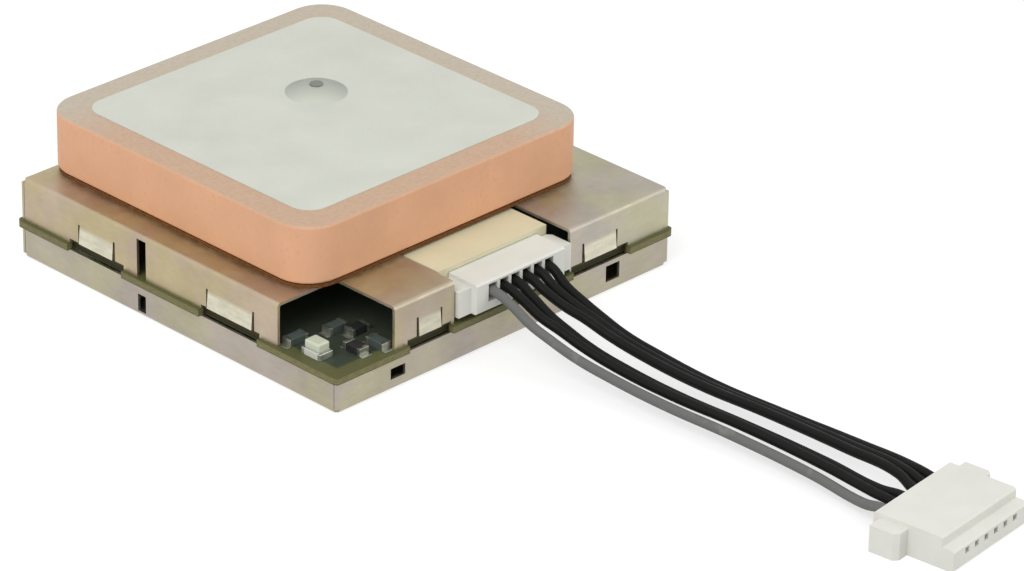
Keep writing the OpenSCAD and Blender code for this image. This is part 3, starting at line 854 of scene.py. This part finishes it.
class MODULE_OT_chips(bpy.types.Operator):
    """Set the chip parts on both faces of the board"""

    bl_idname = "module.chips"
    bl_label = "Chip parts"

    def execute(self, context):
        colours = settings().finishes
        sizes = settings().sizes
        tree = chip_tree()
        metal = solder_finish("chip end caps", tone(colours.solder, END_CAP_TONE))
        tan, black = colours.chip_tan, colours.chip_black
        dark = tone(tan, INDUCTOR_TONE)
        for name, node, places, colour, slot in (
            ("ceramic_capacitors", "chip_capacitors", CAPACITORS, tan, "capacitor"),
            ("film_resistors", "chip_resistors", RESISTORS, black, "chip"),
            ("wound_inductors", "chip_inductors", INDUCTORS, dark, "capacitor"),
        ):
            values = {
                "Size": sizes.chip_size, "Cap": sizes.chip_cap, "Lip": sizes.chip_lip,
                "Pad": sizes.chip_pad, "Skin": sizes.pad_skin,
                "Body": plastic_finish(f"{name} body", colour), "Metal": metal,
            }
            keep(tree.make(name, chip_points(places), values, sizes.chip_round), node)
        return {"FINISHED"}


def add_block(bm, foot, size, rounding, material_index):
    """Adds a block with rounded edges to a mesh, on the middle of its foot, in millimetres."""
    lift = Vector((0, 0, size[2] / 2))
    made = bmesh.ops.create_cube(bm, size=1.0)
    for v in made["verts"]:
        v.co = (Vector(foot) + lift + Vector(a * b for a, b in zip(v.co, size))) * MM
    faces = {f for v in made["verts"] for f in v.link_faces}
    edges = {e for v in made["verts"] for e in v.link_edges}
    for face in faces:
        face.material_index = material_index
    result = bmesh.ops.bevel(
        bm, geom=list(edges), offset=rounding * MM, segments=3, profile=0.5, affect="EDGES"
    )
    for face in result["faces"]:
        face.material_index = material_index


class MODULE_OT_lamp(bpy.types.Operator):
    """Make the status lamp in the open corner"""

    bl_idname = "module.lamp"
    bl_label = "Status lamp"

    def execute(self, context):
        colours = settings().finishes
        x, y = LAMP_AT
        z = BOARD_TOP / MM
        wide, long, high = LAMP_BASE
        bm = bmesh.new()
        for sign in (-1, 1):
            foot = (x, y + sign * (long - LAMP_END) / 2, z)
            add_block(bm, foot, (wide, LAMP_END, high), END_ROUND, 1)
        add_block(bm, (x, y, z), (wide, long - 2 * LAMP_END, high), BASE_ROUND, 0)
        add_block(bm, (x, y, z + high), LAMP_LENS, LENS_ROUND, 2)
        lamp = mesh_object(
            "corner_lamp", bm,
            plastic_finish("lamp base", tone(colours.plug, LAMP_BASE_TONE)),
            solder_finish("lamp ends", tone(colours.solder, LAMP_END_TONE)),
            plastic_finish("lamp lens", colours.lamp, smooth=0.15, rough=0.25),
        )
        keep(lamp, "status_led")
        return {"FINISHED"}


def glow(nodes, lights, seen):
    """Strength of a white surface as a light, and as the camera and reflections see it."""
    path = nodes.add("ShaderNodeLightPath").outputs
    eye = path["Is Camera Ray"]
    for ray in ("Is Glossy Ray", "Is Transmission Ray"):
        eye = nodes.math("MAXIMUM", eye, path[ray])
    strength = nodes.add("ShaderNodeMapRange", Value=eye, To_Min=lights, To_Max=seen)
    return strength.outputs["Result"]


class MODULE_OT_stage(bpy.types.Operator):
    """Set up the camera, the floor and the soft light"""

    bl_idname = "module.stage"
    bl_label = "Stage"

    def execute(self, context):
        values = settings().stage
        scene = context.scene
        scene.view_settings.view_transform = "Standard"
        self.place_camera(scene, values)
        self.light(scene, values)
        self.lay_floor(values)
        return {"FINISHED"}

    def place_camera(self, scene, values):
        az, el = values.azimuth, values.elevation
        back = Vector((
            math.sin(az) * math.cos(el), -math.cos(az) * math.cos(el), math.sin(el)
        ))
        right = Vector((0, 0, 1)).cross(back).normalized()
        up = back.cross(right)
        level = Matrix((right, up, back)).transposed().to_4x4()
        data = bpy.data.cameras.new("photo camera")
        data.sensor_fit = "HORIZONTAL"
        data.sensor_width = SENSOR_MM
        data.lens = LENS_PX / FRAME_W * SENSOR_MM
        camera = link(bpy.data.objects.new("photo camera", data))
        camera.matrix_world = (
            Matrix.Translation(values.camera_place) @ level
            @ Matrix.Rotation(values.roll, 4, "Z")
        )
        scene.camera = camera

    def light(self, scene, values):
        world = bpy.data.worlds.new("white studio")
        scene.world = world
        world.use_nodes = True
        nodes = Nodes(world.node_tree)
        background = nodes.tree.nodes["Background"].inputs
        nodes.feed(background["Color"], (1, 1, 1, 1))
        nodes.feed(background["Strength"], glow(nodes, values.sky, 1.0))
        for name, power, size, place in (
            ("key light", values.key, KEY_SIZE, KEY_PLACE),
            ("fill light", values.fill, FILL_SIZE, FILL_PLACE),
        ):
            data = bpy.data.lights.new(name, "AREA")
            data.energy = power
            data.size = size
            back = (Vector(place) - Vector(LIGHTS_AIM)).normalized()
            turn = back.to_track_quat("Z", "Y").to_matrix().to_4x4()
            lamp = link(bpy.data.objects.new(name, data))
            lamp.matrix_world = Matrix.Translation(place) @ turn

    def lay_floor(self, values):
        f = Finish(
            "white table", Base_Color=(FLOOR_GREY, FLOOR_GREY, FLOOR_GREY, 1), Roughness=0.9,
            Specular_IOR_Level=0.0, Emission_Color=(1, 1, 1, 1),
        )
        f.feed(
            f.shader.inputs["Emission Strength"],
            glow(f, values.floor_light, values.floor_seen),
        )
        bm = bmesh.new()
        bmesh.ops.create_grid(
            bm, x_segments=FLOOR_CELLS, y_segments=FLOOR_CELLS, size=FLOOR_HALF
        )
        mesh_object("floor", bm, f.material)


class MODULE_PT_panel(bpy.types.Panel):
    """Lists the module's pieces and settings"""

    bl_idname = "MODULE_PT_panel"
    bl_label = "GPS receiver module"
    bl_space_type = "VIEW_3D"
    bl_region_type = "UI"
    bl_category = "Module"

    def draw(self, context):
        for operator in OPERATORS:
            self.layout.operator(operator.bl_idname)
        values = context.scene.module_settings
        for group in (values.finishes, values.sizes, values.stage):
            box = self.layout.box()
            for name in group.__annotations__:
                box.prop(group, name)


OPERATORS = (
    MODULE_OT_stage, MODULE_OT_lead, MODULE_OT_cans, MODULE_OT_antenna,
    MODULE_OT_connector, MODULE_OT_board, MODULE_OT_chips, MODULE_OT_lamp,
)
GROUPS = (ModuleFinishes, ModuleSizes, ModuleStage, ModuleSettings)
CLASSES = GROUPS + OPERATORS + (MODULE_PT_panel,)


def register():
    for cls in CLASSES:
        bpy.utils.register_class(cls)
    bpy.types.Scene.module_settings = PointerProperty(type=ModuleSettings)


def unregister():
    del bpy.types.Scene.module_settings
    for cls in reversed(CLASSES):
        bpy.utils.unregister_class(cls)


def main():
    register()
    bpy.ops.module.stage()
    bpy.ops.module.lead()
    bpy.ops.module.cans()
    bpy.ops.module.antenna()
    bpy.ops.module.connector()
    bpy.ops.module.board()
    bpy.ops.module.chips()
    bpy.ops.module.lamp()


if __name__ == "__main__":
    main()
